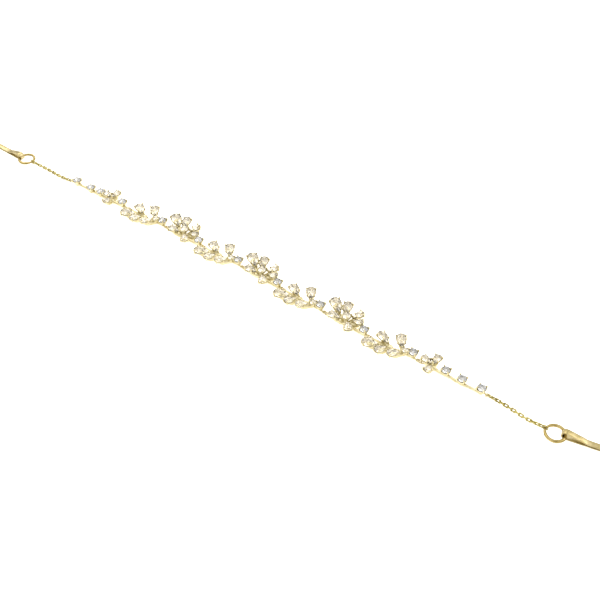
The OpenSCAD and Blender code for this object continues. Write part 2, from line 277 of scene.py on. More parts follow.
def skin(work, rings, closed=False):
    """Quads between each ring of points and the next."""
    spans = list(zip(rings, rings[1:])) + ([(rings[-1], rings[0])] if closed else [])
    for low, high in spans:
        for j in range(len(low)):
            after = (j + 1) % len(low)
            work.faces.new((low[j], low[after], high[after], high[j]))


print("8 points of a ring are", round(degrees(angles(8)[1])), "degrees apart")

# %% [markdown]
# ## A swept wire
# Wire of changing thickness is a ring of points swept along a path, turned as little as possible from
# point to point, so it can't twist. A bevelled curve does the same, but this goes straight into the
# mesh of a cup or a link. Open ends get a low dome, like a filed prong.

# %% Sweep a round wire
UPRIGHT = 0.9  # a path steeper than this starts with any sideways direction


def cap(work, ring, point, ahead):
    """Closes a ring round point with a low dome."""
    inner = [work.verts.new(point + (v.co - point) * 0.6 + ahead * 0.7) for v in ring]
    skin(work, [ring, inner])
    peak = work.verts.new(point + ahead)
    for j, vert in enumerate(inner):
        work.faces.new((vert, inner[(j + 1) % len(inner)], peak))


def sweep(work, path, radii, sides=8, closed=False, tip=0.6):
    """A round wire along path; open ends are domed by tip times their radius."""
    path = [Vector(p) for p in path]
    count = len(path)
    ways = []
    for i in range(count):
        before = path[i - 1] if i or closed else path[0]
        after = path[(i + 1) % count] if closed or i < count - 1 else path[-1]
        ways.append((after - before).normalized())
    side = ways[0].orthogonal() if abs(ways[0].z) > UPRIGHT else Vector((0, 0, 1)).cross(ways[0])
    rings = []
    for point, way, radius in zip(path, ways, radii):
        side = (side - way * side.dot(way)).normalized()
        up = way.cross(side)
        around = [side * cos(a) + up * sin(a) for a in angles(sides)]
        rings.append([work.verts.new(point + radius * out) for out in around])
    skin(work, rings, closed)
    for end, out in () if closed else ((0, -1), (-1, 1)):
        cap(work, rings[end], path[end], ways[end] * out * tip * radii[end])


print("upright from", round(degrees(asin(UPRIGHT))), "degrees on")

# %% [markdown]
# ## The outline of a stone
# The crystals are round brilliants and pears, and a pear is a circle drawn in to a point. The outline
# could be a traced curve, but one formula serves stone, cup and prongs, so they always fit.

# %% Outline of a round or a pear stone
PEAR_SIDE = 4 / sqrt(27)  # largest sin(a) cos(a / 2), where a pear is widest


def outline(length, width, angle, out=0.0):
    """A point on the outline of a stone, moved outwards by out."""
    a = radians(angle)
    draw_in = 1 if length == width else abs(cos(a / 2)) / PEAR_SIDE
    point = Vector((length / 2 * cos(a), width / 2 * sin(a) * draw_in))
    if out:
        along_edge = outline(length, width, angle + 1) - outline(length, width, angle - 1)
        point += out * Vector((along_edge.y, -along_edge.x)).normalized()
    return point


print("a pear at its widest:", [round(v, 2) for v in outline(*PEAR, 70.5)])

# %% [markdown]
# ## The cut of a stone
# A cutter sets eight mains round a flat table, then splits the corners into star and girdle facets. A
# pear's table and culet lie nearer its round end. The heights below put each kite of a round stone in
# one plane. An icosphere pressed flat is easier, but it would sparkle like gravel.

# %% Brilliant cut
TABLE, STAR, LOWER = 0.56, 0.8, 0.25  # corners of the facets, as shares of the outline
CROWN, PAVILION = 0.16, 0.34  # heights over and under the girdle, as shares of the width
GIRDLE = 0.2  # thickness of the girdle
HEART = 0.07  # how far a pear's table lies to its round end, as a share of its length
MAINS = 8
HALF_MAIN = 180 / MAINS


def brilliant(length, width):
    """A cut stone with its girdle round the origin."""
    work = bmesh.new()
    half, crown, depth = GIRDLE / 2, CROWN * width, PAVILION * width
    slant = cos(radians(HALF_MAIN))
    heart = Vector((0 if length == width else HEART * length, 0))

    def row(count, start, share, z):
        """Corners at a share of the way from the heart to the outline."""
        edge = [outline(length, width, start + j * 360 / count) for j in range(count)]
        inside = [heart + (p - heart) * share for p in edge]
        return [work.verts.new((p.x, p.y, z)) for p in inside]

    table = row(MAINS, 0, TABLE, half + crown)
    star = row(MAINS, HALF_MAIN, STAR, half + crown * (1 - STAR * slant) / (1 - TABLE))
    top = row(2 * MAINS, 0, 1, half)
    bottom = row(2 * MAINS, 0, 1, -half)
    lower = row(MAINS, HALF_MAIN, LOWER, -half - depth * (1 - LOWER * slant))
    culet = work.verts.new((heart.x, 0, -half - depth))
    work.faces.new(table)
    for k in range(MAINS):
        g, g1, g2 = 2 * k, 2 * k + 1, (2 * k + 2) % (2 * MAINS)
        for face in (
            (table[k], table[(k + 1) % MAINS], star[k]),
            (table[k], star[k - 1], top[g], star[k]),
            (star[k], top[g], top[g1]),
            (star[k], top[g1], top[g2]),
            (top[g], bottom[g], bottom[g1], top[g1]),
            (top[g1], bottom[g1], bottom[g2], top[g2]),
            (lower[k], bottom[g1], bottom[g]),
            (lower[k], bottom[g2], bottom[g1]),
            (culet, lower[k], bottom[g], lower[k - 1]),
        ):
            work.faces.new(face)
    return work


print("a cut stone has", len(brilliant(*PEAR).faces), "facets")

# %% [markdown]
# ## The settings
# Every stone sits in a tapered, closed cup, whose prongs are bent over the crown. A single stone's cup
# is taller. A pear has one prong at its point, where it would chip, and four along its sides. A
# boolean could cut a cup from a solid, but rings of points, each a share of the stone's outline, give
# clean faces for every shape.

# %% Cups and prongs
CUP_DOWN, TALL_CUP_DOWN = 1.75, 2.6  # how far a cup reaches below the girdle
CUP_BELLY = -1  # a tall cup stretches below this height
AROUND = 24  # points round a cup
ROUND_PRONGS = (45, 135, 225, 315)
PEAR_PRONGS = (48, 112, 180, 248, 312)

# The wall, up the outside and down the inside: share of the outline, mm outside it, height
CUP_WALL = [
    (0.42, 0, -1.75), (0.6, 0, -1.7), (0.72, 0, -1.43), (0.9, 0, -1.05),
    (1, 0.04, -0.72), (1, 0.18, -0.5), (1, 0.24, -0.36), (1, 0.14, -0.26), (0.97, -0.03, -0.32),
    (0.88, 0, -0.52), (0.62, 0, -1), (0.34, 0, -1.46), (0.12, 0, -1.58),
]
# A prong from root to tip: mm outside the outline, height, radius
PRONG = [
    (-0.1, -1.15, 0.24), (0.14, -0.75, 0.25), (0.27, -0.3, 0.26), (0.3, 0.08, 0.26),
    (0.24, 0.34, 0.25), (0.06, 0.47, 0.23), (-0.14, 0.5, 0.19),
]


def cup(length, width, down):
    """A tapered cup with its prongs."""
    work = bmesh.new()
    rings = []
    for share, out, z in CUP_WALL:
        stretch = down / CUP_DOWN if z <= CUP_BELLY else 1
        edge = [outline(length, width, (j + 0.5) * 360 / AROUND, out) * share for j in range(AROUND)]
        rings.append([work.verts.new((p.x, p.y, z * stretch)) for p in edge])
    skin(work, rings)
    work.faces.new(rings[0])
    work.faces.new(rings[-1])
    for angle in ROUND_PRONGS if length == width else PEAR_PRONGS:
        path = [(*outline(length, width, angle, out), z) for out, z, _ in PRONG]
        sweep(work, path, [r for _, _, r in PRONG], tip=0.9)
    return work


print("a round cup has", len(cup(*ROUND, CUP_DOWN).faces), "faces")

# %% [markdown]
# ## One stone and one setting of each kind
# A caster makes one model of each kind and casts it many times. Here each is a mesh in a collection,
# from which a tree picks by number, in the order of the names. The facets under the girdle are marked
# for foil, because a separate foil would have to lie on them exactly.

# %% Kits of stones and settings
KINDS = [
    ("a_round_on_stem", ROUND, True), ("b_round_raised", ROUND, False), ("c_bud", BUD, False),
    ("d_pear_long", LONG, False), ("e_pear", PEAR, False), ("f_pear_short", SHORT, False),
]
LIFT = 0.5  # a stone on the stem looks this much taller than its table says


def kit(name, shapes):
    """A collection of meshes for a tree to pick from."""
    box = bpy.data.collections.new(name)
    scene.collection.children.link(box)
    for mesh in shapes:
        box.objects.link(bpy.data.objects.new(mesh.name, mesh))
    return box


def kind_of(row):
    """Which of KINDS a row of a table asks for."""
    return [kind[1:] for kind in KINDS].index((row.size, row.z == ROUND_Z))


def foiled(mesh, silver):
    """Marks the facets that get foil, and whether it is silver."""
    behind = [face.normal.z < -0.05 for face in mesh.polygons]
    mesh.attributes.new("behind", "BOOLEAN", "FACE").data.foreach_set("value", behind)
    mesh.attributes.new("silver", "FLOAT", "FACE").data.foreach_set("value", [silver] * len(behind))
    return mesh


cuts, settings = [], []
for name, size, stands in KINDS:
    stone, setting = brilliant(*size), cup(*size, TALL_CUP_DOWN if stands else CUP_DOWN)
    for work in (stone, setting) if stands else ():
        bmesh.ops.translate(work, vec=(0, 0, LIFT), verts=work.verts)
    cuts.append(foiled(finish_mesh(stone, "cut_" + name, False), stands))
    settings.append(finish_mesh(setting, "set_" + name, True))
cut_kit, setting_kit = kit("cuts", cuts), kit("settings", settings)
print("settings of", [len(mesh.polygons) for mesh in settings], "faces")

# %% [markdown]
# ## Materials: colours and one node helper
# The photograph shows two materials: light gold plate and colourless crystal. Colours are sRGB hex,
# turned to linear once. Nodes could be added a line at a time, but a helper that takes settings and
# links together shows a material's shape.

# %% Colour and node helpers
def linear(code):
    """An sRGB hex colour as linear red, green, blue and alpha."""
    values = [int(code[i : i + 2], 16) / 255 for i in (1, 3, 5)]
    return [v / 12.92 if v <= 0.04045 else ((v + 0.055) / 1.055) ** 2.4 for v in values] + [1.0]


def put(tree, kind, settings=None, **links):
    """Adds one node, with what feeds its inputs; a node stands for its first output."""
    node = tree.nodes.new(kind)
    for key, value in (settings or {}).items():
        setattr(node, key, value)
    for key, value in links.items():
        socket = next(s for s in node.inputs if s.identifier == key or s.name.replace(" ", "_") == key)
        if isinstance(value, bpy.types.Node):
            value = value.outputs[0]
        if isinstance(value, bpy.types.NodeSocket):
            tree.links.new(value, socket)
        else:
            socket.default_value = value
    return node


def fade(ramp, start, end, first, last):
    """Sets a colour ramp to fade between two hex colours."""
    low, high = ramp.color_ramp.elements
    low.position, low.color = start, linear(first)
    high.position, high.color = end, linear(last)


def new_material(name):
    material = bpy.data.materials.new(name)
    material.use_nodes = True
    material.node_tree.nodes.clear()
    return material, material.node_tree


print("mid grey in linear light:", round(linear("#808080")[0], 3))

# %% [markdown]
# ## Gold plate on brass
# The castings are brass, tumbled bright and thinly plated with pale lemon gold. Tumbling leaves a soft
# orange peel, which breaks up the highlights, and the plate wavers between two close golds. The drawn
# wire of rings and chain is a deeper gold, and the rolled strip of the pins is warmer, duller and
# grained along its length. A brushed texture would be wrong on castings, so one function makes all
# four, with the size of the peel in millimetres.

# %% Gold materials
PATCH = 2.5  # size of a patch of thinner plate


def gold(name, light, deep, rough, peel_mm, depth, stretch=(1, 1, 1)):
    """Plated metal: two close golds, and peel of peel_mm across, depth high.

    Real peel is about 0.1 mm across: too fine to show, so it is drawn a few times coarser.
    """
    material, tree = new_material(name)
    place = put(tree, "ShaderNodeTexCoord").outputs["Object"]
    grain = put(tree, "ShaderNodeMapping", Vector=place, Scale=stretch)
    patches = put(tree, "ShaderNodeTexNoise", Vector=place, Scale=1 / (PATCH * MM), Detail=2.0)
    peel = put(tree, "ShaderNodeTexNoise", Vector=grain, Scale=1 / (peel_mm * MM), Detail=3.0)
    colour = put(tree, "ShaderNodeValToRGB", Fac=patches)
    fade(colour, 0.38, 0.64, deep, light)
    polish = put(
        tree, "ShaderNodeMapRange", Value=peel,
        From_Min=0.3, From_Max=0.7, To_Min=rough * 0.7, To_Max=rough * 1.35,
    )
    relief = put(tree, "ShaderNodeBump", Strength=0.35, Distance=depth * MM, Height=peel)
    shader = put(
        tree, "ShaderNodeBsdfPrincipled", Metallic=1.0, Base_Color=colour, Roughness=polish, Normal=relief,
    )
    put(tree, "ShaderNodeOutputMaterial", Surface=shader)
    return material


cast_gold = gold("gold_plated_cast_brass", "#E0D5B0", "#CABE90", 0.38, 0.5, 0.03)
wire_gold = gold("gold_plated_drawn_brass_wire", "#BCA872", "#9A8850", 0.3, 0.35, 0.02)
chain_gold = gold("gold_plated_fine_chain_wire", "#BAAC66", "#A09250", 0.42, 0.35, 0.02)
pin_gold = gold("gold_plated_rolled_steel_strip", "#C6B68A", "#A89868", 0.36, 0.25, 0.01, (0.08, 1, 1))
print("golds:", [m.name for m in (cast_gold, wire_gold, chain_gold, pin_gold)])

# %% [markdown]
# ## Cut crystal
# The stones are machine-cut crystal glass, polished on every facet, and lead-free crystal bends light
# by about 1.58. The eye sees clear, hard-edged facets that flash, with a trace of haze. The Glass
# shader could make it, but the Principled one carries over to other programs.

# %% Crystal material
HAZE = 1.5  # size of a patch of haze

crystal, tree = new_material("machine_cut_crystal_glass")
place = put(tree, "ShaderNodeTexCoord").outputs["Object"]
haze = put(tree, "ShaderNodeTexNoise", Vector=place, Scale=1 / (HAZE * MM), Detail=1.0)
polish = put(tree, "ShaderNodeMapRange", Value=haze, From_Min=0.45, From_Max=0.75, To_Min=0.0, To_Max=0.06)
shader = put(
    tree, "ShaderNodeBsdfPrincipled", Base_Color=linear("#FBF9F2"), IOR=1.58, Roughness=polish,
    Transmission_Weight=1.0,
)
put(tree, "ShaderNodeOutputMaterial", Surface=shader)
print("crystal of", len(tree.nodes), "nodes")

# %% [markdown]
# ## Foil behind the stones
# Stones for costume jewellery have a thin mirror foil on the back: the eye sees a pale cream stone
# with a few dark glints, and never the metal below it. Single stones look greyer in the photograph, so
# theirs is silver, chosen by a mark on each facet. Clear glass alone would show its gold cup.

# %% Foil material
CRUMPLE = 1.2  # size of a dent in the foil

foil, tree = new_material("champagne_mirror_foil")
place = put(tree, "ShaderNodeTexCoord").outputs["Object"]
crumple = put(tree, "ShaderNodeTexNoise", Vector=place, Scale=1 / (CRUMPLE * MM), Detail=1.0)
cream = put(tree, "ShaderNodeValToRGB", Fac=crumple)
fade(cream, 0.35, 0.65, "#FAF3E4", "#FFFBF2")
silver = put(tree, "ShaderNodeAttribute", {"attribute_name": "silver"}).outputs["Fac"]
colour = put(
    tree, "ShaderNodeMix", {"data_type": "RGBA"}, Factor_Float=silver, A_Color=cream,
    B_Color=linear("#DCDDE1"),
)
shader = put(
    tree, "ShaderNodeBsdfPrincipled", Base_Color=colour.outputs[2], Metallic=1.0, Roughness=0.24,
)
put(tree, "ShaderNodeOutputMaterial", Surface=shader)
print("foil of", len(tree.nodes), "nodes")

# %% [markdown]
# ## Helpers for Geometry Nodes
# Stones, links and wires repeat or follow a path, which is what Geometry Nodes are for. Every tree
# here has named inputs, makes its instances real and sets the material. Copying objects in a loop
# would do the same, but a tree shows every step.

# %% Start, end and run a tree
def new_tree(name, inputs):
    """An empty tree with named inputs, and the outputs of its input node."""
    tree = bpy.data.node_groups.new(name, "GeometryNodeTree")
    tree.interface.new_socket(name="Geometry", in_out="OUTPUT", socket_type="NodeSocketGeometry")
    for label, kind, *default in inputs:
        item = tree.interface.new_socket(name=label, in_out="INPUT", socket_type="NodeSocket" + kind)
        if default:
            item.default_value = default[0]
    return tree, put(tree, "NodeGroupInput").outputs


def close_tree(tree, geometry, material, backing=None):
    """Makes the geometry real and sets its material, and that of faces marked behind."""
    real = put(tree, "GeometryNodeRealizeInstances", Geometry=geometry)
    done = put(tree, "GeometryNodeSetMaterial", Geometry=real, Material=material)
    if backing:
        behind = put(tree, "GeometryNodeInputNamedAttribute", {"data_type": "BOOLEAN"}, Name="behind")
        done = put(tree, "GeometryNodeSetMaterial", Geometry=done, Selection=behind, Material=backing)
    put(tree, "NodeGroupOutput", Geometry=done)
    print(tree.name, "has", len(tree.nodes), "nodes")


def run_tree(name, tree, mesh, **values):
    """Runs a tree on a mesh and returns a plain mesh."""
    host = new_object(name, mesh)
    modifier = host.modifiers.new("tree", "NODES")
    modifier.node_group = tree
    for item in tree.interface.items_tree:
        if item.in_out == "INPUT" and item.name in values:
            modifier[item.identifier] = values[item.name]
    host.update_tag()
    ready = host.evaluated_get(bpy.context.evaluated_depsgraph_get())
    result = bpy.data.meshes.new_from_object(ready)
    result.name = name
    bpy.data.objects.remove(host)
    bpy.data.meshes.remove(mesh)
    return result


# %% [markdown]
# ## A tree that lays shapes on points
# A setter puts each stone in by hand, so no two lie quite alike. Each point carries which shape it
# takes, how it is turned and its size, and a small random tilt, from a fixed seed, gives every stone
# its own flash. The tree could scatter the points too, but the table says where they are.

# %% The layout tree
POINT_FIELDS = [("turn", "FLOAT_VECTOR"), ("pick", "INT"), ("size", "FLOAT")]

layout, given = new_tree("lay_shapes_on_points", [
    ("Points", "Geometry"), ("Kit", "Collection"), ("Tilt", "Float", 0.0), ("Seed", "Int", 7),
    ("Finish", "Material"), ("Backing", "Material"),
])
turn, pick, size = (
    put(layout, "GeometryNodeInputNamedAttribute", {"data_type": kind}, Name=field)
    for field, kind in POINT_FIELDS
)
least = put(layout, "ShaderNodeMath", {"operation": "MULTIPLY"}, Value=given["Tilt"], Value_001=-1.0)
nudge = put(
    layout, "FunctionNodeRandomValue", {"data_type": "FLOAT_VECTOR"}, Min=least, Max=given["Tilt"],
    Seed=given["Seed"],
)
turn, nudge = (put(layout, "FunctionNodeEulerToRotation", Euler=euler) for euler in (turn, nudge))
tilted = put(
    layout, "FunctionNodeRotateRotation", {"rotation_space": "LOCAL"}, Rotation=turn, Rotate_By=nudge,
)
shapes = put(
    layout, "GeometryNodeCollectionInfo", Collection=given["Kit"], Separate_Children=True,
    Reset_Children=True,
)
laid = put(
    layout, "GeometryNodeInstanceOnPoints", Points=given["Points"], Instance=shapes,
    Pick_Instance=True, Instance_Index=pick, Rotation=tilted, Scale=size,
)
close_tree(layout, laid, given["Finish"], given["Backing"])


def points_mesh(places):
    """Points; a place is a matrix, the number of a shape, and its size."""
    mesh = bpy.data.meshes.new("points")
    mesh.from_pydata([matrix.translation * MM for matrix, *_ in places], [], [])
    for field, kind in POINT_FIELDS:
        mesh.attributes.new(field, kind, "POINT")
    for i, (matrix, shape, size) in enumerate(places):
        mesh.attributes["turn"].data[i].vector = matrix.to_euler()
        mesh.attributes["pick"].data[i].value = shape
        mesh.attributes["size"].data[i].value = size
    return mesh


# %% [markdown]
# ## A tree that draws wire
# Stem, stalks and eyes of a spray are one casting: rods that bend a little, thicker at the knots. The
# tree turns edges into a smooth curve, sweeps a circle along it, as thick as each point says, and
# roughens it slightly, as a wax model comes out of its mould. Straight cylinders from knot to knot
# would look like plumbing.

# %% The wire tree
wire, given = new_tree("draw_wire", [
    ("Paths", "Geometry"), ("Sides", "Int", 12), ("Steps", "Int", 6), ("Relief", "Float", 0.0),
    ("Lump", "Float", 1.0 * MM), ("Finish", "Material"),
])
line = put(wire, "GeometryNodeMeshToCurve", Mesh=given["Paths"])
line = put(wire, "GeometryNodeCurveSplineType", {"spline_type": "CATMULL_ROM"}, Curve=line)
line = put(wire, "GeometryNodeSetSplineResolution", Geometry=line, Resolution=given["Steps"])
thick = put(wire, "GeometryNodeInputNamedAttribute", {"data_type": "FLOAT"}, Name="thick")
circle = put(wire, "GeometryNodeCurvePrimitiveCircle", Resolution=given["Sides"], Radius=1.0)
swept = put(wire, "GeometryNodeCurveToMesh", Curve=line, Profile_Curve=circle, Scale=thick, Fill_Caps=True)
often = put(wire, "ShaderNodeMath", {"operation": "DIVIDE"}, Value=1.0, Value_001=given["Lump"])
where = put(wire, "GeometryNodeInputPosition")
lumps = put(wire, "ShaderNodeTexNoise", Vector=where, Scale=often, Detail=1.0)
uneven = put(wire, "ShaderNodeMath", {"operation": "SUBTRACT"}, Value=lumps, Value_001=0.5)
height = put(wire, "ShaderNodeMath", {"operation": "MULTIPLY"}, Value=uneven, Value_001=given["Relief"])
normal = put(wire, "GeometryNodeInputNormal")
outward = put(wire, "ShaderNodeVectorMath", {"operation": "SCALE"}, Vector=normal, Scale=height)
rough = put(wire, "GeometryNodeSetPosition", Geometry=swept, Offset=outward)
soft = put(wire, "GeometryNodeSetShadeSmooth", Geometry=rough, Shade_Smooth=True)
close_tree(wire, soft, given["Finish"])


def paths_mesh(paths, base=Matrix()):
    """Paths as edges; a path is its (point, radius) pairs, and closed or not."""
    points, edges, radii = [], [], []
    for rows, closed in paths:
        first = len(points)
        points += [base @ Vector(point) * MM for point, _ in rows]
        radii += [radius * MM for _, radius in rows]
        edges += [(i, i + 1) for i in range(first, len(points) - 1)]
        edges += [(len(points) - 1, first)] if closed else []
    mesh = bpy.data.meshes.new("paths")
    mesh.from_pydata(points, edges, [])
    mesh.attributes.new("thick", "FLOAT", "POINT").data.foreach_set("value", radii)
    return mesh


# %% [markdown]
# ## The stem of a spray
# The stem swells at each knot, thins towards its eyes, and dips under a single stone, clear of the
# stone's point. One thickness all along would be simpler, but the real stem was modelled in wax.

# %% Path of a stem and its eyes
# Steps of a stem at one of its points: how far along it, height, radius
AT_KNOT = [(-1.4, 1.05, 0.72), (0, 1.3, 1.2), (1.4, 1.05, 0.72)]
AT_EYE = [(0, STEM_Z, 0.3), (0.9, STEM_Z, 0.46)]
BESIDE_STONE = [(-2.6, STEM_Z, 0.64), (-1.7, STEM_Z, 0.72), (1.7, STEM_Z, 0.72), (2.6, STEM_Z, 0.64)]
DIP_R = 0.55
LOW_DIP, HIGH_DIP = 0.8, 0.95  # a stem right under the stone's point dips lower
UNDER_POINT = 0.4  # how near it runs for that
LEAST_STEP = 0.45  # steps nearer to the next are left out, or the curve would kink


def stem_path(stem, stands, knots):
    """The steps of a stem, from left to right."""
    path = []
    for i, (x, y) in enumerate(stem):
        if i in stands:
            dip = LOW_DIP if abs(stands[i].y - y) < UNDER_POINT else HIGH_DIP
            steps = BESIDE_STONE + [(0, dip, DIP_R)]
        else:
            steps = AT_KNOT if i in knots else AT_EYE
        inward = -1 if i == len(stem) - 1 else 1
        path += [((x + inward * step, y, z), radius) for step, z, radius in steps]
    path.sort(key=lambda row: row[0][0])
    spaced = [row for row, after in zip(path, path[1:]) if after[0][0] - row[0][0] > LEAST_STEP]
    return spaced + path[-1:]


def eye_path(x, y, side):
    """The ring of wire beyond one end of a stem."""
    centre = Vector((x + side * EYE_R, y, STEM_Z))
    return [(centre + EYE_R * Vector((cos(a), sin(a), 0)), EYE_WIRE / 2) for a in angles(12)]


print("an eye has", len(eye_path(0, 0, 1)), "steps")

# %% [markdown]
# ## The stalks of a spray
# A stalk is a short thick neck from its knot to the foot of its cup, so that each cluster is one
# compact mass of gold. A straight thin rod is less code, but it looks like a twig.

# %% Paths of one casting
LEAST_NECK_Z = 1.2  # keeps the wide part of a neck off the table


def neck_path(row, knot):
    """From a knot up to the foot of one stone's cup, as (point, radius)."""
    place = on_stone(row)
    if row.size == BUD:
        return [(knot, 0.7), (place @ Vector((0, 0, 0.1 - CUP_DOWN)), 0.62)]
    length = row.size[0]
    near = place @ Vector((-length / 6, 0, -0.25 - CUP_DOWN))
    near.z = max(near.z, LEAST_NECK_Z)
    far = place @ Vector((length / 8, 0, 0.05 - CUP_DOWN))
    return [(knot, 0.9), (knot.lerp(near, 0.5), 1), (near, 1.1), (far, 0.5)]


def spray_paths(rows, stem):
    """Every path of one casting, and whether it is closed."""
    stands = {row.knot: row for row in rows if row.z == ROUND_Z}
    carried = [row for row in rows if row.z != ROUND_Z]
    paths = [(stem_path(stem, stands, {row.knot for row in carried}), False)]
    paths += [(eye_path(*stem[0], -1), True), (eye_path(*stem[-1], 1), True)]
    paths += [(neck_path(row, Vector((*stem[row.knot], STEM_Z))), False) for row in carried]
    return paths


print("a flower spray has", len(spray_paths(FLOWER_STONES, FLOWER_STEM)), "paths")

# %% [markdown]
# ## Building the nine sprays
# Each spray becomes two pieces, its metal and its stones, which replace the plain solids of the frame.
# The stones are up to an eighth larger than those solids, because claws and foil make them look
# fuller. A boolean would weld the cups to the stem, but it is slow on thin wire, and no eye could see
# the seam.

# %% Sprays
SCRATCH_FIELDS = ("turn", "pick", "size", "thick", "behind")
GROWN, LESS_GROWN = 1.12, 1.03  # how much larger than its table a stone is
CROWDED_Z = 3.8  # a stone of a cluster that lies lower than this grows less


def join(name, meshes):
    """Several meshes as one, with the first one's material."""
    work = bmesh.new()
    for mesh in meshes:
        work.from_mesh(mesh)
    joined = bpy.data.meshes.new(name)
    work.to_mesh(joined)
    work.free()
    joined.materials.append(meshes[0].materials[0])
    for mesh in meshes:
        bpy.data.meshes.remove(mesh)
    return joined


def settle(name, mesh, node):
    """A finished piece rides on the root body, for its node."""
    for field in list(mesh.attributes):
        if field.name in SCRATCH_FIELDS:
            mesh.attributes.remove(field)
    piece = new_object(name, mesh)
    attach(piece, "root")
    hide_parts(node)
    return piece


def grown(row):
    return LESS_GROWN if ROUND_Z < row.z < CROWDED_Z else GROWN


for number, (name, rows, stem) in enumerate(SPRAYS):
    base = on_vine(number)
    places = [(base @ on_stone(row), kind_of(row), grown(row)) for row in rows]
    stones = run_tree(
        name + "_gems", layout, points_mesh(places),
        Kit=cut_kit, Tilt=radians(1.2), Seed=number + 1, Finish=crystal, Backing=foil,
    )
    settle(name + "_cut_stones", stones, name + "_stones")
    casting = run_tree(
        "casting", wire, paths_mesh(spray_paths(rows, stem), base),
        Relief=0.08 * MM, Lump=0.9 * MM, Finish=cast_gold,
    )
    cups = run_tree("cups", layout, points_mesh(places), Kit=setting_kit, Tilt=0.0, Finish=cast_gold)
    metal = settle(name + "_metal", join(name + "_metal", [casting, cups]), name)
    print(name, len(metal.data.polygons), "faces of metal for", len(rows), "stones")

# %% [markdown]
# ## Rings and links of wire
# A round link joins two sprays, a jump ring holds each chain, and the chain's links are ovals, pinched
# and thicker in the middle, for the photograph's dense, dashed line. The round ones could be torus
# primitives, but one sweep makes all three.

# %% Kit of rings and links
OVAL, JUMP, LINK = 0, 1, 2
OVAL_EXTRA, SIDE_EXTRA = 0.04, 0.03  # how much thicker an oval's wire looks, and its sides
WAIST = [(0.24, 0.47), (0, 0.41), (-0.24, 0.47)]  # the pinch: along the link, out from its middle
WAIST_EXTRA = 0.06


def ring_mesh(name, radius, thick):
    """A round ring whose axis is Y."""
    work = bmesh.new()
    circle = [(radius * cos(a), 0, radius * sin(a)) for a in angles(32)]
    sweep(work, circle, [thick / 2] * len(circle), sides=12, closed=True)
    return finish_mesh(work, name, True)


def oval_mesh(name):
    """A chain link along X, lying in the XY plane."""
    work = bmesh.new()
    bend = (CHAIN_W - CHAIN_WIRE) / 2
    straight = CHAIN_PITCH / 2 + HALF_MEET - bend
    path, radii = [], []
    for side in (1, -1):
        for a in (radians(-90 + j * 22.5) for j in range(9)):
            path.append((side * (straight + bend * cos(a)), side * bend * sin(a), 0))
            radii.append(CHAIN_WIRE / 2 + OVAL_EXTRA + SIDE_EXTRA * abs(sin(a)) ** 3)
        for x, y in WAIST:
            path.append((side * x, side * y, 0))
            radii.append(CHAIN_WIRE / 2 + WAIST_EXTRA)
    sweep(work, path, radii, sides=10, closed=True)
    return finish_mesh(work, name, True)


wire_kit = kit("rings", [
    oval_mesh("a_oval"), ring_mesh("b_jump", JUMP_R, JUMP_WIRE), ring_mesh("c_link", LINK_R, LINK_WIRE),
])

# %% [markdown]
# ## Tail chains
# The tails are a cable chain: each link is threaded through the next at a quarter turn, and the tree
# that lays stones lays the links too. Near its ends the chain eases to the turn that ring or eye asks
# for. A simulation could drop it on the table, but it would not end where the frame says.

# %% Tail chains
EASE = 4  # links over which the chain comes down
SWAY = 0.3  # how far it strays sideways
ROLL, LYING = 90, 45  # turn from link to link, and how a lying chain leans
TAILS = [("left", LEFT_LINKS, left_ring_x, left_eye), ("right", RIGHT_LINKS, right_ring_x, right_eye)]


def tail_places(links, ring_x, eye):
    """The jump ring and links of one tail."""
    to_eye = heading(eye - Vector((ring_x, 0)))
    base = shift @ moved(ring_x, 0) @ turned("Z", to_eye)

    def joint(i):
        rise = RING_Z if i < links / 2 else STEM_Z
        down = min(i, links - i, EASE) / EASE
        sway = SWAY * sin(tau * i / links)
        return Vector((CHAIN_FROM + i * CHAIN_PITCH, sway, rise + (CHAIN_Z - rise) * down))

    places = [(base @ moved(JUMP_X, 0, RING_Z), JUMP, 1)]
    for i in range(links):
        way = joint(i + 1) - joint(i)
        down = min(i, links - 1 - i, EASE) / EASE
        climb = degrees(asin(way.z / way.length))
        lie = turned("Z", heading(way)) @ turned("Y", -climb) @ turned("X", ROLL * i + LYING * down)
        places.append((base @ moved(*(joint(i) + joint(i + 1)) / 2) @ lie, OVAL, 1))
    return places


for side, links, ring_x, eye in TAILS:
    places = tail_places(links, ring_x, eye)
    chain = run_tree("chain", layout, points_mesh(places), Kit=wire_kit, Finish=chain_gold)
    settle(f"cable_chain_{side}", chain, f"tail_chain_{side}")
    print("chain", side, links, "links,", len(chain.polygons), "faces")

# %% [markdown]
# ## Links between the sprays
# Each casting ends in an eye, and a small upright link goes through two eyes, so that the vine bends
# on hair. The castings could be one run, but faint breaks show between them in the photograph.

# %% Round links
for i in range(1, len(JOINTS) - 1):
    way = JOINTS[i + 1] - JOINTS[i - 1]
    place = shift @ moved(*JOINTS[i].xy, STEM_Z) @ turned("Z", heading(way))
    ring = run_tree("link", layout, points_mesh([(place, LINK, 1)]), Kit=wire_kit, Finish=wire_gold)
    settle(f"round_link_{i}", ring, f"link_{i}")
print("round links:", len(JOINTS) - 2)

# %% [markdown]
# ## End rings
# Each end ring is drawn wire, bent round and soldered. The wire tree draws it as a closed path, with a
# hair of unevenness, and thinner where the chain rubs. A torus would be one call, but it couldn't
# change its thickness.

# %% End rings
WORN_EXTRA, SOUND_EXTRA = 0.03, 0.18  # how much thicker it looks: all round, and off the chain
INWARD = 0.15  # the thick part grows inwards

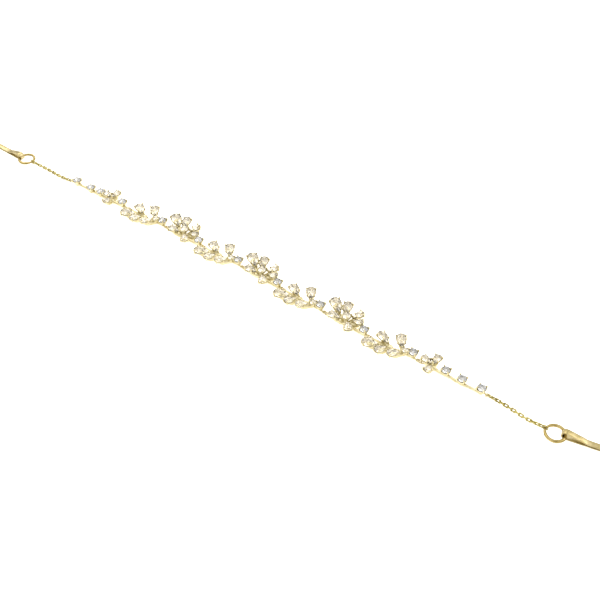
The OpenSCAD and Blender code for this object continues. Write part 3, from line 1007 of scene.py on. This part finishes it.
for side, ring_x, chain_side in (("left", left_ring_x, 1), ("right", right_ring_x, -1)):
    centre = shift @ Vector((ring_x, 0, RING_Z))
    path = []
    for a in angles(24):
        sound = min(1, (1 - chain_side * cos(a)) * 4)
        point = centre + (RING_R - INWARD * sound) * Vector((cos(a), sin(a), 0))
        path.append((point, RING_WIRE / 2 + WORN_EXTRA + SOUND_EXTRA * sound))
    ring = run_tree(
        "ring", wire, paths_mesh([(path, True)]),
        Sides=16, Steps=4, Relief=0.02 * MM, Lump=1.5 * MM, Finish=wire_gold,
    )
    settle(f"wire_ring_{side}", ring, f"end_ring_{side}")
    print("ring", side, len(ring.polygons), "faces")

# %% [markdown]
# ## The bend of a hair pin
# A hair pin is flat strip, rolled round into a head and brought back over itself, so that it grips
# between its legs. From the side it is one line: a straight lower leg, the head, a slope down, a close
# stretch, and a tip that lifts to let the hair in. It could be a drawn curve, but this meets its sizes
# exactly.

# %% Line of the strip
PIN_L, PIN_W, PIN_T, PIN_HEAD, PIN_LEGS = 50, 2.2, 0.5, 3.5, 1.4
TIP_SHORT = 0.2  # room for the rounded ends
SLOPE = radians(15)  # of the strip behind the head
EASE_L = 4  # length over which that slope eases into the close stretch
TIP_L, TIP_LIFT = 5, 4 * tan(radians(12))  # of the lifted tip


def pin_path():
    """The middle of the strip, as (x, z) from the middle of the head."""
    r = (PIN_HEAD - PIN_T) / 2
    fall = tan(SLOPE)
    tip_x = PIN_L - PIN_HEAD / 2 - TIP_SHORT
    close_z = PIN_LEGS - PIN_T - r
    over_x, over_z = r * sin(SLOPE), r * cos(SLOPE)
    level_x = over_x + (over_z - close_z) / fall + EASE_L / 2
    lift_x = tip_x - TIP_L
    path = [(tip_x - (tip_x - 1) * j / 12, -r) for j in range(13)]
    for j in range(37):
        a = radians(270) - j * (pi + SLOPE) / 36
        path.append((r * cos(a), r * sin(a)))
    for j in range(1, 13):
        x = over_x + (level_x - over_x) * j / 12
        ease = max(0.0, 1 - (level_x - x) / EASE_L)
        path.append((x, close_z + (1 - ease) ** 2 * fall if ease else over_z - (x - over_x) * fall))
    path += [(level_x + (lift_x - level_x) * j / 8, close_z) for j in range(1, 9)]
    path += [(lift_x + TIP_L * j / 5, close_z + (j / 5) ** 2 * TIP_LIFT) for j in range(1, 6)]
    return path


print("a pin's strip has", len(pin_path()), "steps")

# %% [markdown]
# ## The strip itself
# The section never changes, so it is one outline with round corners, carried along the bend, with
# rounded tips that don't scratch. A bevelled plate couldn't follow the head.

# %% Strip bent into a pin
CORNER = 0.17  # radius of the strip's edges
TIP_RINGS = [(0.86, 0.13), (0.6, 0.2)]  # a tip narrows: share of the section, how far ahead


def strip_section():
    """A flat oblong with round corners, as (across, through)."""
    points = []
    half_w, half_t = PIN_W / 2 - CORNER, PIN_T / 2 - CORNER
    for across, through, start in ((1, 1, 0), (-1, 1, 90), (-1, -1, 180), (1, -1, 270)):
        for a in (radians(start + j * 30) for j in range(4)):
            points.append((across * half_w + CORNER * cos(a), through * half_t + CORNER * sin(a)))
    return points


def pin_mesh(name, matrix):
    """The strip along its path, with rounded ends."""
    work = bmesh.new()
    path = [Vector((x, 0, z + PIN_HEAD / 2)) for x, z in pin_path()]
    section = strip_section()
    rings = []
    for before, point, after in zip([path[0]] + path, path, path[1:] + [path[-1]]):
        way = (after - before).normalized()
        through = Vector((-way.z, 0, way.x))
        rings.append([work.verts.new(point + Vector((0, a, 0)) + through * b) for a, b in section])
    for end, inner in ((0, 1), (-1, -2)):
        point, ahead = path[end], (path[end] - path[inner]).normalized()
        caps = [rings[end]]
        for share, out in TIP_RINGS:
            caps.append([work.verts.new(point + (v.co - point) * share + ahead * out) for v in rings[end]])
        skin(work, caps)
        work.faces.new(caps[-1])
    skin(work, rings)
    bmesh.ops.transform(work, matrix=matrix, verts=work.verts)
    mesh = finish_mesh(work, name, True)
    mesh.materials.append(pin_gold)
    return mesh


print("the strip's section has", len(strip_section()), "points")

# %% [markdown]
# ## Both hair pins in their rings
# The head of a pin lies round the wire of its ring, and the pin points away from the vine. Both could
# lie straight on, but the right one leaves its ring at an angle in the photograph.

# %% Hair pins
HEAD_SLIP = 0.05  # the middle of the head lies this far outside that of the ring's wire
# Side, ring, where on it the head sits, where the pin points, which way is outwards
PINS = [("left", left_ring_x, -9, 179, -1), ("right", right_ring_x, 22, 12, 1)]

for side, ring_x, seat, points_to, outwards in PINS:
    a, reach = radians(seat), RING_R + HEAD_SLIP
    head = (ring_x + outwards * reach * cos(a), reach * sin(a))
    place = shift @ moved(*head) @ turned("Z", points_to)
    pin = settle(f"strip_pin_{side}", pin_mesh(f"pin_{side}", place), f"hair_pin_{side}")
    print(pin.name, len(pin.data.polygons), "faces")

# %% [markdown]
# ## Light table
# The photograph's ground is burnt out to white, with no shadow: the vine lies on a light table. So the
# floor is opal acrylic, sanded matt, that also glows: the eye sees an even white. A white world alone
# would look alike, but it would leave the gold nothing to mirror from below.

# %% Floor
TABLE_HALF = 1.5  # metres

opal, tree = new_material("opal_acrylic_sheet")
shader = put(
    tree, "ShaderNodeBsdfPrincipled", Base_Color=linear("#FAFAFA"), Roughness=0.7,
    Emission_Color=linear("#FFFFFF"), Emission_Strength=0.7,
)
put(tree, "ShaderNodeOutputMaterial", Surface=shader)

sheet = bpy.data.meshes.new("table")
corners = [(x * TABLE_HALF, y * TABLE_HALF, 0) for x, y in ((-1, -1), (1, -1), (1, 1), (-1, 1))]
sheet.from_pydata(corners, [], [(0, 1, 2, 3)])
sheet.materials.append(opal)
new_object("light_table", sheet)
print("light table", 2 * TABLE_HALF, "m wide")

# %% [markdown]
# ## The room
# Polished metal and foil show little but the room around them. A bright dome makes the stones pale, a
# grey band near the horizon gives every wire its darker edges, and a slightly darker patch towards the
# viewer keeps some facets from burning out. A picture of a studio could light it too, but two ramps do
# it with numbers that can be read.

# %% Dome
TO_VIEWER = Vector((0.44, -0.6, 0.67)).normalized()

room = bpy.data.worlds.new("room")
scene.world = room
room.use_nodes = True
tree = room.node_tree
way = put(tree, "ShaderNodeTexCoord").outputs["Generated"]
height = put(tree, "ShaderNodeSeparateXYZ", Vector=way)
walls = put(tree, "ShaderNodeValToRGB", Fac=height.outputs["Z"])
fade(walls, 0.16, 0.5, "#B6B1A6", "#FFFFFF")
facing = put(
    tree, "ShaderNodeVectorMath", {"operation": "DOT_PRODUCT"}, Vector=way, Vector_001=TO_VIEWER,
)
patch = put(tree, "ShaderNodeValToRGB", Fac=facing.outputs["Value"])
fade(patch, 0.86, 0.97, "#FFFFFF", "#D6D2C8")
for ramp in (walls, patch):
    ramp.color_ramp.interpolation = "EASE"
dome = put(
    tree, "ShaderNodeMix", {"data_type": "RGBA", "blend_type": "MULTIPLY"}, Factor_Float=1.0, A_Color=walls,
    B_Color=patch,
)
tree.links.new(dome.outputs[2], tree.nodes["Background"].inputs["Color"])
tree.nodes["Background"].inputs["Strength"].default_value = 1.25
print("dome of", len(tree.nodes), "nodes")

# %% [markdown]
# ## Soft boxes
# A photographer adds soft lamps for a wide highlight on each wire. Two square area lamps stand for
# them. A sun would be as bright, but its highlights would be points.

# %% Lamps
def soft_box(name, place, size, power):
    """A square lamp aimed at the origin, in metres and watts."""
    lamp = bpy.data.lights.new(name, "AREA")
    lamp.shape = "SQUARE"
    lamp.size = size
    lamp.energy = power
    holder = new_object(name, lamp)
    holder.location = place
    holder.rotation_euler = Vector(place).to_track_quat("Z", "Y").to_euler()
    print(name, power, "W")


soft_box("soft_box_left", (-0.6, 0.25, 0.8), 0.7, 4)
soft_box("soft_box_right", (0.65, 0.5, 0.7), 0.5, 2.5)

# %% [markdown]
# ## Camera
# The camera looks down by 45 degrees from the front right. Its place and lens were solved from the
# repeats of the vine, whose spacing is known. Set by eye, it would not fit both ends at once.

# %% Camera
FROM_RINGS = Vector((170.4, -198.0, 246.0))  # millimetres from midway between the end rings
LOOK_DOWN, LOOK_ROUND = 45, 36.27
FOCAL, SENSOR = 53.1, 36

lens = bpy.data.cameras.new("camera")
lens.sensor_width = SENSOR
lens.lens = FOCAL
lens.clip_start = 0.01
camera = new_object("camera", lens)
camera.location = ((middle("end_ring_left") + middle("end_ring_right")) / 2 + FROM_RINGS) * MM
camera.rotation_euler = Euler((radians(90 - LOOK_DOWN), 0, radians(LOOK_ROUND)))
scene.camera = camera
scene.view_settings.view_transform = "Standard"
print("camera at", [round(v, 4) for v in camera.location])

# %% [markdown]
# ## Clearing up
# The kits could stay hidden, but an export might carry them along, so only finished pieces stay. The
# dressed vine should stay inside the box of the plain solids.

# %% Remove the kits
for box in (cut_kit, setting_kit, wire_kit):
    for shape in list(box.objects):
        bpy.data.objects.remove(shape)
    bpy.data.collections.remove(box)
